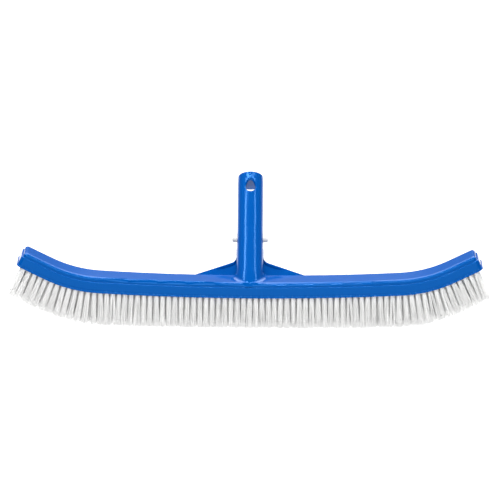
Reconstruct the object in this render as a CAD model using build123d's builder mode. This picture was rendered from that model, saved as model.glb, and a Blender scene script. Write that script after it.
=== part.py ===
from build123d import *
from math import cos, radians, sin, tan
import os

os.makedirs("parts", exist_ok=True)

# A 20 in pool wall brush. X runs along the head, +Z points away from the bristles,
# and the handle leans back towards +Y. The brush stands on its bristle tips at z = 0.
# Millimetres and degrees throughout.

# Head: the line of its top is a very flat arc, a bend at each side and a straight wing
head_length = 508.0
middle_radius = 3000.0
middle_angle = 3.13
bend_radius = 134.0
wing_angle = 26.5

# Back: the raised plate on top of the tufted block
plate_height = 4.8
plate_width = 31.6
plate_shoulder = 3.4
plate_corner = 4.2
ledge = 1.4

# Tufted block, with a small lip round its lower edge
block_height = 12.2
block_width = plate_width + 2 * ledge
block_corner = 5.4
block_edge = 1.4
lip_height = 2.2
lip_proud = 0.6
lip_edge = 0.5

# Weld pips on the back, sunk into recesses in the block's top
pip_radius = 2.6
pip_height = 1.3
pip_clearance = 0.1
pip_pitch = 80.0
pip_count = 6

# Tufts: staple-set nylon in staggered rows, the even rows one tuft short
row_count = 5
row_spacing = 6.0
row_tufts = 75
tuft_pitch = 6.78
tuft_hole_radius = 2.3
tuft_hole_depth = 8.0
tuft_root_radius = 2.22
tuft_tip_radius = 3.1
tuft_length = 35.6
tuft_longest = 37.9
tuft_end_length = 34.6

# Flat wire anchor, pressed across the bottom of each tuft hole
anchor_width = 5.2
anchor_thickness = 0.4
anchor_height = 2.0

# Handle: a plug for a 1 1/4 in pole, closed at its end and open along its back
handle_angle = 45.0
handle_radius = 14.2
handle_foot_radius = 15.0
handle_length = 124.6
handle_taper = 56.0
handle_lead = 8.2
handle_lead_in = 0.3
handle_edge = 0.9
handle_setback = 7.6
handle_root = 26.0
foot_proud = 0.7
root_gap = 0.6
foot_blend = 5.0
foot_level = 0.3
end_wall = 8.0
front_wall = 3.0
channel_width = 18.0
channel_start = 8.0

# Hanging hole, drawn straight down through the front wall
hang_radius = 5.3
hang_from_end = 16.2
hang_edge = 0.8

# Spring clip: a bow round a post in the channel, and two legs with a lock button each
bow_height = 17.0
bow_radius = 5.5
clip_thickness = 2.0
clip_width = 7.0
leg_gap = 0.3
leg_length = 35.0
leg_flare = 2.1
button_height = 46.2
button_radius = 3.2
button_base_radius = 3.4
button_proud = 5.4
button_shoulder = 0.5
button_edge = 0.9
slot_width = 7.4
slot_length = 11.0
slot_height = 47.3
post_radius = 4.1
post_end = 4.5

# Gussets from the handle's foot to the back edge of the plate
web_offset = 6.4
web_thickness = 2.6
gusset_reach = 51.0
gusset_tip = 60.0
gusset_slope = 20.5
gusset_blend = 8.0
gusset_top = 28.8
rim_height = 2.4
rim_thickness = 1.8
ramp_start = 29.0
ramp_length = 14.0
ramp_height = 2.4

# Longer than any piece, for cuts that run right out of it
well_past = 150.0

# Derived places
block_bottom = plate_height + block_height
bend_angle = wing_angle - middle_angle
bend_start = middle_radius * sin(radians(middle_angle))
bend_end = bend_start + bend_radius * (sin(radians(wing_angle)) - sin(radians(middle_angle)))
wing_reach = head_length / 2 - block_bottom * sin(radians(wing_angle)) - bend_end
wing_length = wing_reach / cos(radians(wing_angle)) - lip_proud
middle_run = (middle_radius + block_bottom) * radians(middle_angle)
bend_run = (bend_radius + block_bottom) * radians(bend_angle)

lean_y = sin(radians(handle_angle))
lean_z = cos(radians(handle_angle))
handle_rear = handle_setback + handle_edge
handle_rear += (handle_length - handle_edge) * lean_y + (handle_radius - handle_edge) * lean_z
head_y = (block_width / 2 + lip_proud - handle_rear) / 2
head_z = block_bottom + tuft_length

head_side = Plane(origin=(0, head_y, head_z), x_dir=(1, 0, 0), z_dir=(0, -1, 0))
handle_foot = Vector(0, head_y + handle_setback, head_z)
handle_up = Vector(0, lean_y, lean_z)
handle_axis = Axis(handle_foot, handle_up)
handle_face = Plane(origin=handle_foot, x_dir=(1, 0, 0), z_dir=(0, -lean_z, lean_y))
handle_section = Plane(origin=handle_foot, x_dir=(1, 0, 0), z_dir=handle_up)


def half_line(depth, trim):
    """Half of the line that runs parallel to the head's top, depth below it."""
    middle = JernArc((0, -depth), (1, 0), middle_radius + depth, middle_angle)
    bend = JernArc(middle @ 1, middle % 1, bend_radius + depth, bend_angle)
    wing = Line(bend @ 1, bend @ 1 + (bend % 1) * (wing_length - trim))
    return wing @ 1


def head_layer(upper, lower, trim):
    """Side view of the head between two depths, its ends cut trim short of the block's."""
    with BuildSketch(head_side) as layer:
        with BuildLine():
            upper_end = half_line(upper, trim)
            lower_end = half_line(lower, trim)
            Line(upper_end, lower_end)
            Line((0, -upper), (0, -lower))
        make_face()
        mirror(about=Plane.YZ)
    return layer.sketch


def place_on_head(distance, y, depth):
    """Plane at a distance along the block's underside, Z out of it, depth below the top."""
    side = 1 if distance >= 0 else -1
    run = abs(distance)
    bent = min(max(run - middle_run, 0), bend_run)
    straight = max(run - middle_run - bend_run, 0)
    start = min(run, middle_run) / (middle_radius + block_bottom)
    angle = start + bent / (bend_radius + block_bottom)
    x = middle_radius * sin(start) + bend_radius * (sin(angle) - sin(start))
    z = middle_radius * (1 - cos(start)) + bend_radius * (cos(start) - cos(angle))
    top = Vector(side * (x + straight * cos(angle)), head_y + y, head_z + z + straight * sin(angle))
    down = Vector(side * sin(angle), 0, -cos(angle))
    return Plane(origin=top + down * depth, x_dir=(cos(angle), 0, side * sin(angle)), z_dir=down)


def end_corners(part):
    """The edges that run through the thickness of a head layer at its two ends."""
    ends = part.faces().sort_by(Axis.X)
    corners = ends[0].edges() + ends[-1].edges()
    return corners.filter_by(Axis.Y, reverse=True)


def rim_edges(part, side):
    """The edges all round a head layer, on its top (side 1) or its underside (side -1)."""
    faces = part.faces().filter_by(lambda face: face.normal_at().Z * side > 0.8)
    wing_middle = bend_end + wing_reach / 2
    return faces.edges().filter_by(
        lambda edge: abs(edge.center().X) > wing_middle
        or abs(edge.center().Y - head_y) > plate_width / 4
    )


def pip_places(depth):
    """Where the weld pips stand, along the middle of the head."""
    first = -pip_pitch * (pip_count - 1) / 2
    return [place_on_head(first + pip_pitch * index, 0, depth) for index in range(pip_count)]


def make_plate():
    """Raised plate, with rounded corners and shoulders and the pips on its underside."""
    with BuildPart() as plate:
        extrude(head_layer(0, plate_height, ledge), amount=plate_width / 2, both=True)
        fillet(end_corners(plate), plate_corner)
        fillet(rim_edges(plate, 1), plate_shoulder)
        with Locations(*pip_places(plate_height - pip_height)):
            Cylinder(
                pip_radius, 2 * pip_height, align=(Align.CENTER, Align.CENTER, Align.MIN)
            )
    return plate


def make_handle():
    """Handle before its hollows are cut: turned about its own axis, its end edge rounded."""
    with BuildPart() as handle:
        with BuildSketch(handle_face):
            with BuildLine():
                Polyline(
                    (0, -handle_root),
                    (handle_foot_radius, -handle_root),
                    (handle_foot_radius, 0),
                    (handle_radius, handle_taper),
                    (handle_radius, handle_length - handle_lead),
                    (handle_radius - handle_lead_in, handle_length),
                    (0, handle_length),
                    close=True,
                )
            make_face()
        revolve(axis=handle_axis)
        fillet(handle.edges().group_by(handle_axis)[-1], handle_edge)
    return handle


def gusset_face(lowered):
    """Face of both gussets on the web's front, with its free edge lowered by an amount."""
    slope = tan(radians(gusset_slope))
    side = handle_foot_radius
    with BuildSketch(handle_face.offset(-web_offset)) as face:
        with BuildLine():
            edge = FilletPolyline(
                (gusset_tip, web_offset - (gusset_tip - gusset_reach) * slope - lowered),
                (side, web_offset + (gusset_reach - side) * slope - lowered),
                (side, web_offset + gusset_top - lowered),
                radius=gusset_blend,
            )
            Polyline(
                edge @ 1,
                (0, web_offset + gusset_top - lowered),
                (0, web_offset - gusset_top),
                (gusset_tip, web_offset - gusset_top),
                edge @ 0,
            )
        make_face()
        mirror(about=Plane.YZ)
    return face.sketch


def make_gussets():
    """Webs behind the handle's foot, each with a rim along its free edge and an end ramp."""
    rim = gusset_face(0) - gusset_face(rim_thickness)
    with BuildPart() as ramp:
        with BuildSketch(handle_section.offset(-gusset_top)):
            with BuildLine():
                Polyline(
                    (ramp_start, web_offset),
                    (ramp_start + ramp_length, web_offset - ramp_height),
                    (gusset_tip, web_offset - ramp_height),
                    (gusset_tip, web_offset),
                    close=True,
                )
            make_face()
            mirror(about=Plane.YZ)
        extrude(amount=well_past)
        extrude(gusset_face(0), amount=ramp_height, mode=Mode.INTERSECT)
    with BuildPart() as gussets:
        extrude(gusset_face(0), amount=-web_thickness)
        extrude(rim, amount=rim_height, dir=(0, 0, 1))
        add(ramp.part)
    return gussets


def make_block():
    """Tufted block, with its lip, the tuft holes and the recesses for the weld pips."""
    with BuildPart() as lip:
        layer = head_layer(block_bottom - lip_height, block_bottom, -lip_proud)
        extrude(layer, amount=block_width / 2 + lip_proud, both=True)
        fillet(end_corners(lip), block_corner + lip_proud)
        fillet(rim_edges(lip, 1) + rim_edges(lip, -1), lip_edge)
    with BuildPart() as block:
        extrude(head_layer(plate_height, block_bottom, 0), amount=block_width / 2, both=True)
        fillet(end_corners(block), block_corner)
        fillet(rim_edges(block, 1), block_edge)
        add(lip.part)
        with Locations(*pip_places(plate_height)):
            Cylinder(
                pip_radius + pip_clearance,
                pip_height + pip_clearance,
                align=(Align.CENTER, Align.CENTER, Align.MIN),
                mode=Mode.SUBTRACT,
            )
        with Locations(*[place for row in tuft_rows for distance, place in row]):
            Hole(tuft_hole_radius, tuft_hole_depth)
    return block


def tuft_row(row):
    """Distance and plane of each tuft in a row, on the block's underside."""
    count = row_tufts - row % 2
    y = (row - (row_count - 1) / 2) * row_spacing
    distances = [(index - (count - 1) / 2) * tuft_pitch for index in range(count)]
    return [(distance, place_on_head(distance, y, block_bottom)) for distance in distances]


tuft_rows = [tuft_row(row) for row in range(row_count)]


def make_tuft(distance, place):
    """One tuft: filaments folded into the hole, which flare a little to their trimmed tips."""
    run = abs(distance)
    last = row_tufts * tuft_pitch / 2
    if run < middle_run:
        length = tuft_length + (tuft_longest - tuft_length) * (run / middle_run) ** 2
    else:
        past = (run - middle_run) / (last - middle_run)
        length = tuft_longest + (tuft_end_length - tuft_longest) * past
    side = Plane(origin=place.origin, x_dir=place.x_dir, z_dir=place.x_dir.cross(place.z_dir))
    with BuildPart() as tuft:
        with BuildSketch(side):
            with BuildLine():
                Polyline(
                    (0, -tuft_hole_depth),
                    (tuft_root_radius, -tuft_hole_depth),
                    (tuft_root_radius, 0),
                    (tuft_tip_radius, length),
                    (0, length),
                    close=True,
                )
            make_face()
        revolve(axis=Axis(place.origin, place.z_dir))
    return tuft.part.solid()


def make_anchors(places):
    """Flat wire anchors across the bottoms of their tuft holes."""
    with BuildPart() as anchors:
        with Locations(*[place.offset(anchor_height - tuft_hole_depth) for place in places]):
            Box(
                anchor_width,
                anchor_thickness,
                anchor_height,
                align=(Align.CENTER, Align.CENTER, Align.MAX),
            )
    return anchors


def make_bow():
    """Bow of the spring clip, round its post."""
    with BuildPart() as bow:
        with BuildSketch(handle_face.offset(-clip_width / 2)):
            with Locations((0, bow_height)):
                Circle(bow_radius + clip_thickness / 2)
                Circle(bow_radius - clip_thickness / 2, mode=Mode.SUBTRACT)
                Rectangle(
                    4 * bow_radius,
                    4 * bow_radius,
                    align=(Align.CENTER, Align.MIN),
                    mode=Mode.SUBTRACT,
                )
        extrude(amount=clip_width)
    return bow


def make_leg(side):
    """Leg of the spring clip with its lock button, on the right (side 1) or left (side -1)."""
    start = (bow_radius, bow_height + leg_gap)
    end = (bow_radius + leg_flare, bow_height + leg_length)
    half = clip_thickness / 2
    button_base = start[0] + leg_flare / 2
    shoulder = handle_radius + button_shoulder
    button_end = handle_radius + button_proud
    points = [
        (side * (start[0] - half), start[1]),
        (side * (start[0] + half), start[1]),
        (side * (end[0] + half), end[1]),
        (side * (end[0] - half), end[1]),
    ]
    across = Plane(
        origin=handle_foot + handle_up * button_height + Vector(side * button_base, 0, 0),
        x_dir=handle_up,
        z_dir=(side, 0, 0),
    )
    with BuildPart() as leg:
        with BuildSketch(handle_face.offset(-clip_width / 2)):
            Polygon(*points, align=None)
        extrude(amount=clip_width)
        with BuildSketch(across):
            Circle(button_base_radius)
        extrude(amount=shoulder - button_base)
        with BuildSketch(across):
            Circle(button_radius)
        extrude(amount=button_end - button_base)
        tip = leg.faces().sort_by(Axis.X)[-1 if side > 0 else 0]
        fillet(tip.edges(), button_edge)
    return leg


def at_foot(edge):
    """Whether an edge is where the handle meets the plate's top or its shoulders."""
    place = edge.center() - head_side.origin
    across = abs(place.X) < 1.1 * handle_foot_radius and abs(place.Y) < plate_width / 2
    level = -plate_shoulder / 2 < place.Z < foot_level
    return across and level and edge.geom_type == GeomType.BSPLINE


def make_back():
    """Back: plate, handle, gussets and clip post in one moulding."""
    plate = make_plate()
    handle = make_handle()
    gussets = make_gussets()
    with BuildPart() as back:
        add(handle.part)
        add(gussets.part)

        # The root stops short of the block below and just over the plate's front side
        below = head_layer(plate_height - root_gap, bend_radius, -ledge)
        extrude(below, amount=well_past, both=True, mode=Mode.SUBTRACT)
        with BuildSketch(head_side.offset(plate_width / 2 + foot_proud)):
            Rectangle(well_past, well_past)
        extrude(amount=well_past, mode=Mode.SUBTRACT)
        add(plate.part)
        fillet(back.edges().filter_by(at_foot), foot_blend)

        # Channel with a round bottom behind the front wall, and the post for the clip
        round_centre = handle_radius - front_wall - channel_width / 2
        with BuildSketch(handle_section.offset(channel_start)):
            with Locations((0, -round_centre)):
                Circle(channel_width / 2)
                Rectangle(channel_width, 3 * handle_radius, align=(Align.CENTER, Align.MIN))
        extrude(amount=handle_length - end_wall - channel_start, mode=Mode.SUBTRACT)
        with BuildSketch(handle_face.offset(-post_end)):
            with Locations((0, bow_height)):
                Circle(post_radius)
        extrude(amount=post_end + handle_radius - front_wall / 2)

        # Hanging hole, and a slot in each side wall for the lock buttons
        hang = Vector(0, lean_y, lean_z) * (handle_length - hang_from_end)
        with BuildSketch(Plane(origin=handle_foot + hang)):
            with Locations((0, -lean_y * handle_radius)):
                Circle(hang_radius)
        extrude(amount=2 * handle_radius, both=True, mode=Mode.SUBTRACT)
        rims = back.edges(Select.LAST).filter_by(GeomType.BSPLINE)
        fillet(rims, hang_edge)
        across = Plane(origin=handle_foot + handle_up * slot_height, x_dir=handle_up, z_dir=(1, 0, 0))
        with BuildSketch(across):
            SlotOverall(slot_length, slot_width)
        extrude(amount=2 * handle_radius, both=True, mode=Mode.SUBTRACT)
    return back


def write(part, name):
    part.label = name
    export_step(part, f"parts/{name}.step")


write(make_back().part, "back")
write(make_block().part, "bristle_block")
write(make_bow().part, "clip_bow")
write(make_leg(1).part, "clip_leg_right")
write(make_leg(-1).part, "clip_leg_left")

# Each row of tufts, and its anchors, in the left bend, the middle and the right bend
for row, tufts in enumerate(tuft_rows, start=1):
    sections = {"left": [], "middle": [], "right": []}
    for distance, place in tufts:
        end = "left" if distance < 0 else "right"
        sections[end if abs(distance) > middle_run else "middle"].append((distance, place))
    for section, places in sections.items():
        group = Compound(children=[make_tuft(distance, place) for distance, place in places])
        write(group, f"tufts_row_{row}_{section}")
        anchors = make_anchors([place for distance, place in places])
        write(anchors.part, f"anchors_row_{row}_{section}")
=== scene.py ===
from math import cos, pi, radians, sin

import bpy
import numpy as np
from mathutils import Matrix, Vector


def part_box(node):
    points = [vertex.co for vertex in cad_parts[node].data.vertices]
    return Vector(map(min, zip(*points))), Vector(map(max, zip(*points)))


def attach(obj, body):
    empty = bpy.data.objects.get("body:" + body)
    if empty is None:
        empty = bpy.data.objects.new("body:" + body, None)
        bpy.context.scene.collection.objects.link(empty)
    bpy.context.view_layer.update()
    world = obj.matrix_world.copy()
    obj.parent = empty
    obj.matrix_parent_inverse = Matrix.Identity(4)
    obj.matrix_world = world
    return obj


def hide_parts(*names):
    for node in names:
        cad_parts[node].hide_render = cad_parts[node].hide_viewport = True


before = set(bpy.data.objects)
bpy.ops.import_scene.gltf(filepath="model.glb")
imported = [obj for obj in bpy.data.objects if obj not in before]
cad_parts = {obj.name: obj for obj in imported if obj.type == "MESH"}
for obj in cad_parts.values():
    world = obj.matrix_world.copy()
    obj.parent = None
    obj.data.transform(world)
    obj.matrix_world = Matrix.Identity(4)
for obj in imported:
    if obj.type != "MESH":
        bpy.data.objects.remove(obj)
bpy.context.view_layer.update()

bpy.ops.object.select_all(action="DESELECT")
mm = 0.001

# Back: one injection moulding in glossy blue ABS, with the raised plate, the pole handle,
# its gussets and the hanging hole. It is welded to the tufted block along the plate's edge.


class Signal:
    """An output socket of a shader node. Arithmetic on it adds Math nodes."""

    def __init__(self, nodes, output):
        self.nodes = nodes
        self.output = output

    def combine(self, operation, first, second):
        return self.nodes.add("ShaderNodeMath", {"operation": operation}, {0: first, 1: second})

    def __add__(self, other):
        return self.combine("ADD", self, other)

    def __radd__(self, other):
        return self.combine("ADD", other, self)

    def __sub__(self, other):
        return self.combine("SUBTRACT", self, other)

    def __rsub__(self, other):
        return self.combine("SUBTRACT", other, self)

    def __mul__(self, other):
        return self.combine("MULTIPLY", self, other)

    def __rmul__(self, other):
        return self.combine("MULTIPLY", other, self)


class Nodes:
    """The node tree of a material or of the world, emptied and built up one node at a time."""

    def __init__(self, owner):
        owner.use_nodes = True
        self.tree = owner.node_tree
        self.tree.nodes.clear()

    def add(self, kind, settings=None, sockets=None, output=0):
        node = self.tree.nodes.new(kind)
        for name, value in (settings or {}).items():
            if name == "stops":
                for stop, (place, shade) in zip(node.color_ramp.elements, value):
                    stop.position = place
                    stop.color = (shade, shade, shade, 1)
            else:
                setattr(node, name, value)
        for name, value in (sockets or {}).items():
            if isinstance(value, Signal):
                self.tree.links.new(value.output, node.inputs[name])
            else:
                node.inputs[name].default_value = value
        return Signal(self, node.outputs[output]) if len(node.outputs) else None

    def mix(self, share, first, second):
        colours = {"Factor": share, 6: first, 7: second}
        return self.add("ShaderNodeMix", {"data_type": "RGBA"}, colours, output=2)

    def noise(self, scale, detail):
        """Noise on the piece's own coordinates."""
        place = self.add("ShaderNodeTexCoord", output=3)
        pattern = {"Vector": place, "Scale": scale, "Detail": detail}
        return self.add("ShaderNodeTexNoise", None, pattern)


cloud_scale, cloud_detail = 14.0, 3.0
smear_scale, smear_detail = 90.0, 4.0
grain_scale, grain_detail = 420.0, 2.0
smear_height = 0.6
smear_gloss = 0.05
peel_depth = 0.1 * mm


def plastic(name, colour, deep_colour, tint, roughness, specular, peel):
    """Moulded plastic: faint cloudy colour, uneven gloss and the orange peel of the mould."""
    material = bpy.data.materials.new(name)
    nodes = Nodes(material)
    cloud = nodes.noise(cloud_scale, cloud_detail)
    smear = nodes.noise(smear_scale, smear_detail)
    grain = nodes.noise(grain_scale, grain_detail)
    bump = {"Height": grain + smear_height * smear, "Strength": peel, "Distance": peel_depth}
    shader = nodes.add("ShaderNodeBsdfPrincipled", None, {
        "Base Color": nodes.mix(cloud, (*deep_colour, 1), (*colour, 1)),
        "Roughness": roughness + smear_gloss * (smear - 0.5),
        "Specular IOR Level": specular,
        "Specular Tint": (*tint, 1),
        "Normal": nodes.add("ShaderNodeBump", None, bump),
    })
    nodes.add("ShaderNodeOutputMaterial", None, {"Surface": shader})
    return material


def finish_node(name, material):
    """A CAD node shown as it is, in one material."""
    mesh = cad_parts[name].data
    mesh.materials.clear()
    mesh.materials.append(material)


blue_colour = (0.0, 0.073, 0.33)
blue_deep = (0.0, 0.068, 0.315)
blue_tint = (0.12, 0.47, 1.0)
blue_finish = {"roughness": 0.13, "specular": 0.45, "peel": 0.04}
blue = plastic("blue_abs", blue_colour, blue_deep, blue_tint, **blue_finish)
finish_node("back", blue)

# Tufted block: the wider blue bar under the plate, moulded in the same ABS and drilled
# for the tufts. Its lower edge has a small moulded lip.

finish_node("bristle_block", blue)

# Spring clip: one bent strip of natural nylon, held by its bow round a post in the handle.
# Each leg carries a lock button that stands out of the handle's side.

nylon_colour = (0.56, 0.56, 0.57)
nylon_deep = (0.52, 0.52, 0.53)
no_tint = (1.0, 1.0, 1.0)
nylon_finish = {"roughness": 0.38, "specular": 0.45, "peel": 0.08}
nylon = plastic("clip_nylon", nylon_colour, nylon_deep, no_tint, **nylon_finish)
for name in ("clip_bow", "clip_leg_left", "clip_leg_right"):
    finish_node(name, nylon)

# Tufts: white nylon filaments folded in half into each hole and held by an anchor. They leave
# the hole as a tight round bundle and fan out a little to their trimmed ends.

strand_radius = 0.2 * mm
strand_sides = 4
strand_runs = (0.22, 0.12, 0.22, 0.24, 0.20)
strands_in_tuft = 72
bundle_radius = 2.12 * mm
hole_depth = 8.0 * mm
tip_flare = 1.6
flare_spread = 0.28
strand_stray = 0.42 * mm
tuft_lean = 0.75 * mm
tuft_trim = 0.7 * mm
strand_trim = 0.3 * mm
wing_lean = 3.0 * mm
split_share = 0.14
split_width = 1.0 * mm
split_range = (0.6, 1.2)
fan_bend = 0.95
deep_lean_share = 0.7
golden_turn = radians(137.508)
same_point = 0.001 * mm
end_band = 0.05 * mm
tip_clearance = 0.05 * mm
smooth_angle = radians(100)

strand_pale = (0.985, 0.985, 0.98, 1)
strand_dull = (0.93, 0.93, 0.925, 1)
root_colour = (0.93, 0.93, 0.915, 1)
root_share = 0.4
strand_roughness = 0.42
tone_roughness = 0.12
strand_specular = 0.4


def bristle_finish():
    """White nylon filament, a little darker and yellower towards the root and uneven from strand
    to strand.
    """
    material = bpy.data.materials.new("bristle_nylon")
    nodes = Nodes(material)
    tone = nodes.add("ShaderNodeAttribute", {"attribute_name": "tone"}, None, output=2)
    height = nodes.add("ShaderNodeAttribute", {"attribute_name": "height"}, None, output=2)
    strand_colour = nodes.mix(tone, strand_dull, strand_pale)
    upward = root_share + (1 - root_share) * height
    shader = nodes.add("ShaderNodeBsdfPrincipled", None, {
        "Base Color": nodes.mix(upward, root_colour, strand_colour),
        "Roughness": strand_roughness + tone_roughness * tone,
        "Specular IOR Level": strand_specular,
    })
    nodes.add("ShaderNodeOutputMaterial", None, {"Surface": shader})
    return material


def model_strand():
    """One straight filament of unit length: rings of points from its root to its cut end."""
    bpy.ops.mesh.primitive_circle_add(
        vertices=strand_sides, radius=strand_radius, fill_type="NGON", location=(0, 0, 0)
    )
    strand = bpy.context.object
    bpy.ops.object.mode_set(mode="EDIT")
    for run in strand_runs:
        bpy.ops.mesh.extrude_region_move(TRANSFORM_OT_translate={"value": (0, 0, run)})
    bpy.ops.mesh.select_all(action="SELECT")
    bpy.ops.mesh.normals_make_consistent(inside=False)
    bpy.ops.object.mode_set(mode="OBJECT")
    points = np.array([vertex.co for vertex in strand.data.vertices])
    faces = [np.array(face.vertices) for face in strand.data.polygons]
    bpy.data.objects.remove(strand)
    return points, faces


def tuft_ends(node):
    """Root and tip centre of every tuft solid in a CAD node, from the node's own mesh."""
    copy = bpy.data.objects.new("tuft_solids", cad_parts[node].data.copy())
    bpy.context.scene.collection.objects.link(copy)
    bpy.context.view_layer.objects.active = copy
    copy.select_set(True)
    bpy.ops.object.mode_set(mode="EDIT")
    bpy.ops.mesh.select_all(action="SELECT")
    bpy.ops.mesh.remove_doubles(threshold=same_point)
    bpy.ops.mesh.separate(type="LOOSE")
    bpy.ops.object.mode_set(mode="OBJECT")
    ends = []
    for solid in list(bpy.context.selected_objects):
        points = np.array([vertex.co for vertex in solid.data.vertices])
        line = np.linalg.svd(points - points.mean(0), full_matrices=False)[2][0]
        line = line if line[2] < 0 else -line
        along = points @ line
        root = points[along < along.min() + end_band].mean(0)
        tip = points[along > along.max() - end_band].mean(0)
        ends.append((root, tip))
        bpy.data.objects.remove(solid)
    return sorted(ends, key=lambda end: end[0][0])


def fan_out(root, tip, points, chance):
    """Points, tones and heights of one tuft's filaments, from its hole's bottom to its tips."""
    length = np.linalg.norm(tip - root)
    down = (tip - root) / length
    across = np.cross((0.0, 1.0, 0.0), down)
    across = across / np.linalg.norm(across)
    deep = np.cross(down, across)
    index = np.arange(strands_in_tuft)
    reach = bundle_radius * np.sqrt((index + 0.5) / strands_in_tuft)
    turn = index * golden_turn + chance.uniform(0, 2 * pi)
    start = np.stack([reach * np.cos(turn), reach * np.sin(turn)], 1)
    flare = tip_flare + chance.normal(0, flare_spread) - 1
    drift = start * flare + chance.normal(0, strand_stray, start.shape)
    drift += chance.normal(0, (tuft_lean, deep_lean_share * tuft_lean))
    drift[:, 0] += wing_lean * down[0]
    if chance.random() < split_share:
        drift[:, 0] += split_width * np.sign(start[:, 0]) * chance.uniform(*split_range)
    cut = length - chance.uniform(0, tuft_trim) - chance.exponential(strand_trim, strands_in_tuft)
    share = np.clip((points[:, 2] * length - hole_depth) / (length - hole_depth), 0, 1)
    side = start[:, None, :] + drift[:, None, :] * (share**fan_bend)[None, :, None]
    shorter = 0.5 * (drift**2).sum(1) / (length - hole_depth)
    run = points[None, :, 2] * (cut - shorter)[:, None]
    placed = root + side[..., :1] * across + side[..., 1:] * deep + run[..., None] * down
    placed += points[None, :, :1] * across + points[None, :, 1:2] * deep
    tone = np.repeat(chance.random((strands_in_tuft, 1)), len(points), 1)
    height = np.repeat(share[None, :], strands_in_tuft, 0)
    return placed.reshape(-1, 3), tone.ravel(), height.ravel()


def brush_out(node, name, strand, chance):
    """All the filaments of one CAD node's tufts as one piece."""
    points, faces = strand
    tufts = [fan_out(root, tip, points, chance) for root, tip in tuft_ends(node)]
    places, tones, heights = (np.concatenate(part) for part in zip(*tufts))
    places[:, 2] = np.maximum(places[:, 2], tip_clearance)
    firsts = np.arange(len(tufts) * strands_in_tuft)[:, None] * len(points)
    loops = []
    for face in faces:
        loops += (firsts + face).tolist()
    mesh = bpy.data.meshes.new(name)
    mesh.from_pydata(places.tolist(), [], loops)
    for label, values in (("tone", tones), ("height", heights)):
        mesh.attributes.new(label, "FLOAT", "POINT").data.foreach_set("value", values)
    piece = bpy.data.objects.new(name, mesh)
    bpy.context.scene.collection.objects.link(piece)
    mesh.materials.append(bristle)
    bpy.context.view_layer.objects.active = piece
    piece.select_set(True)
    bpy.ops.object.shade_smooth_by_angle(angle=smooth_angle)
    piece.select_set(False)
    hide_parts(node)
    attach(piece, "brush")


bristle = bristle_finish()
strand = model_strand()
chance = np.random.default_rng(7)
rows = range(1, 6)
for row in rows:
    for part in ("left", "middle", "right"):
        brush_out(f"tufts_row_{row}_{part}", f"bristles_row_{row}_{part}", strand, chance)

# Anchors: flat staples of drawn steel wire, pressed across the bottom of each tuft hole.
# Each one traps the fold of its tuft and holds by its own width.

wire_bright = (0.66, 0.66, 0.67, 1)
wire_dull = (0.50, 0.50, 0.51, 1)
wire_grain, wire_detail = 900.0, 2.0
wire_roughness = 0.25
wire_unevenness = 0.2


def wire_finish():
    """Drawn steel wire, finely mottled in colour and gloss."""
    material = bpy.data.materials.new("anchor_wire")
    nodes = Nodes(material)
    drawn = nodes.noise(wire_grain, wire_detail)
    shader = nodes.add("ShaderNodeBsdfPrincipled", None, {
        "Base Color": nodes.mix(drawn, wire_dull, wire_bright),
        "Roughness": wire_roughness + wire_unevenness * drawn,
        "Metallic": 1.0,
    })
    nodes.add("ShaderNodeOutputMaterial", None, {"Surface": shader})
    return material


wire = wire_finish()
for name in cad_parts:
    if name.startswith("anchors"):
        finish_node(name, wire)

# Studio: a pale floor, two long strip lights over the handle for its two thin streaks, a wide
# soft box in front, and a surround that is bright high up behind the brush and dim elsewhere.

floor_size = 60.0
camera_rise = radians(17.0)
camera_roll = radians(0.466)
camera_distance = 4.4
aim_above_head = 31.5 * mm
head_thickness = 17.0 * mm
lens_length = 290.0
sensor_width = 36.0
sight_end = 100.0

front_glow = 0.14
back_glow = 0.06
high_glow = 4.6
fade_beside = ((0.35, 1.0), (0.80, 0.0))
rise_above = ((0.30, 0.0), (0.60, 1.0))
rise_behind = ((0.05, 0.0), (0.30, 1.0))

bpy.ops.mesh.primitive_plane_add(size=floor_size, location=(0, 0, 0))
floor = bpy.context.object
floor.name = "floor"
paper = bpy.data.materials.new("floor_paper")
paper_nodes = Nodes(paper)
paper_shader = paper_nodes.add("ShaderNodeBsdfPrincipled", None, {
    "Base Color": (0.25, 0.25, 0.25, 1),
    "Roughness": 0.9,
    "Specular IOR Level": 0.1,
    "Emission Color": (1, 1, 1, 1),
    "Emission Strength": 1.05,
})
paper_nodes.add("ShaderNodeOutputMaterial", None, {"Surface": paper_shader})
floor.data.materials.append(paper)

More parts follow.
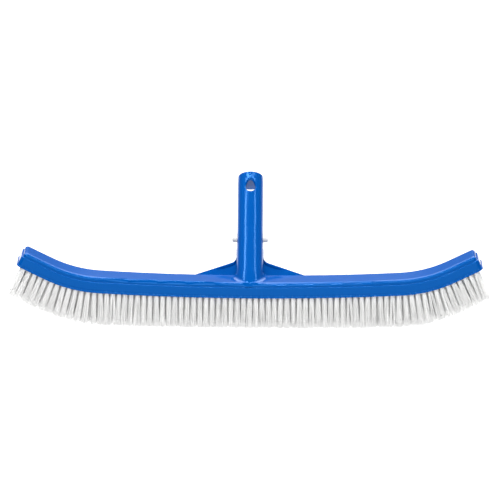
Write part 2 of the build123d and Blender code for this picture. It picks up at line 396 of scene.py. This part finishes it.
surround = bpy.data.worlds.new("surround")
bpy.context.scene.world = surround
world_nodes = Nodes(surround)
direction = world_nodes.add("ShaderNodeTexCoord", output=0)
beside, behind, above = (
    world_nodes.add("ShaderNodeSeparateXYZ", None, {"Vector": direction}, output=axis)
    for axis in range(3)
)
aside = world_nodes.add("ShaderNodeMath", {"operation": "ABSOLUTE"}, {0: beside})
middle = world_nodes.add("ShaderNodeValToRGB", {"stops": fade_beside}, {"Fac": aside})
rear = world_nodes.add("ShaderNodeValToRGB", {"stops": rise_behind}, {"Fac": behind})
overhead = world_nodes.add("ShaderNodeValToRGB", {"stops": rise_above}, {"Fac": above})
back_wall = middle * rear
glow = front_glow + back_wall * (back_glow + high_glow * overhead)
sky = world_nodes.add("ShaderNodeBackground", None, {"Color": (1, 1, 1, 1), "Strength": glow})
world_nodes.add("ShaderNodeOutputWorld", None, {"Surface": sky})


def soft_box(name, place, target, size, glow):
    """A rectangular soft box of a given brightness, turned to face a point."""
    lamp = bpy.data.lights.new(name, "AREA")
    lamp.shape = "RECTANGLE"
    lamp.size, lamp.size_y = size
    lamp.energy = glow * pi * size[0] * size[1]
    stand = bpy.data.objects.new(name, lamp)
    bpy.context.scene.collection.objects.link(stand)
    stand.location = place
    stand.rotation_euler = (Vector(target) - Vector(place)).to_track_quat("-Z", "Y").to_euler()


handle_middle = (0, -0.2, 0.1)
head_middle = (0, 0, 0.05)
soft_box("strip_left", (-0.62, -0.2, 1.72), handle_middle, size=(0.16, 2.6), glow=18.0)
soft_box("strip_right", (0.42, -0.2, 1.78), handle_middle, size=(0.10, 2.6), glow=16.0)
soft_box("front_box", (0, -2.6, 1.9), head_middle, size=(2.6, 1.4), glow=5.0)

low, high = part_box("bristle_block")
head_centre = Vector((0, (low.y + high.y) / 2, low.z + head_thickness))
view_back = Vector((0, -cos(camera_rise), sin(camera_rise)))
view_up = Vector((0, sin(camera_rise), cos(camera_rise)))
camera = bpy.data.objects.new("camera", bpy.data.cameras.new("camera"))
bpy.context.scene.collection.objects.link(camera)
camera.data.lens = lens_length
camera.data.sensor_width = sensor_width
camera.data.clip_end = sight_end
camera.location = head_centre + view_up * aim_above_head + view_back * camera_distance
turned = view_back.to_track_quat("Z", "Y").to_matrix() @ Matrix.Rotation(camera_roll, 3, "Z")
camera.rotation_euler = turned.to_euler()
bpy.context.scene.camera = camera
bpy.context.scene.view_settings.view_transform = "Standard"
